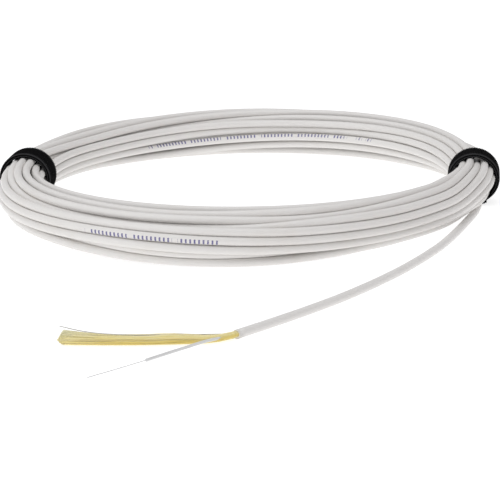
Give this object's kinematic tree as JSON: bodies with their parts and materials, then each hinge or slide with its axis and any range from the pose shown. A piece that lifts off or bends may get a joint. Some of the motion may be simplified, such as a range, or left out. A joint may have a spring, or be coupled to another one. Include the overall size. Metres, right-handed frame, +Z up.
{
  "type": "fibre optic patch cord",
  "caption": "Flat coil of white indoor fibre optic cable in black hook-and-loop ties, its free end stripped to yellow aramid yarn and tight-buffered fibre.",
  "frame": {"origin": "on the floor, under the middle of the whole object's box", "axes": "+Z up; +Y from the stripped end towards the far side of the coil; +X towards the tie that the free end leaves"},
  "size_m": [0.1842, 0.3004, 0.0192],
  "materials": {
    "white_jacket": "satin",
    "black_strap": "matte",
    "yellow_aramid": "silky",
    "white_buffer": "satin",
    "clear_fibre": "smooth",
    "grey_thread": "matte"
  },
  "bodies": {
    "root": {"cable_coil": "white_jacket", "cable_tail": "white_jacket", "tie_left": "black_strap", "tie_right": "black_strap", "aramid_yarn": "yellow_aramid", "pull_thread": "grey_thread", "buffered_fibre": "white_buffer", "bare_fibre": "clear_fibre"}
  },
  "joints": []
}
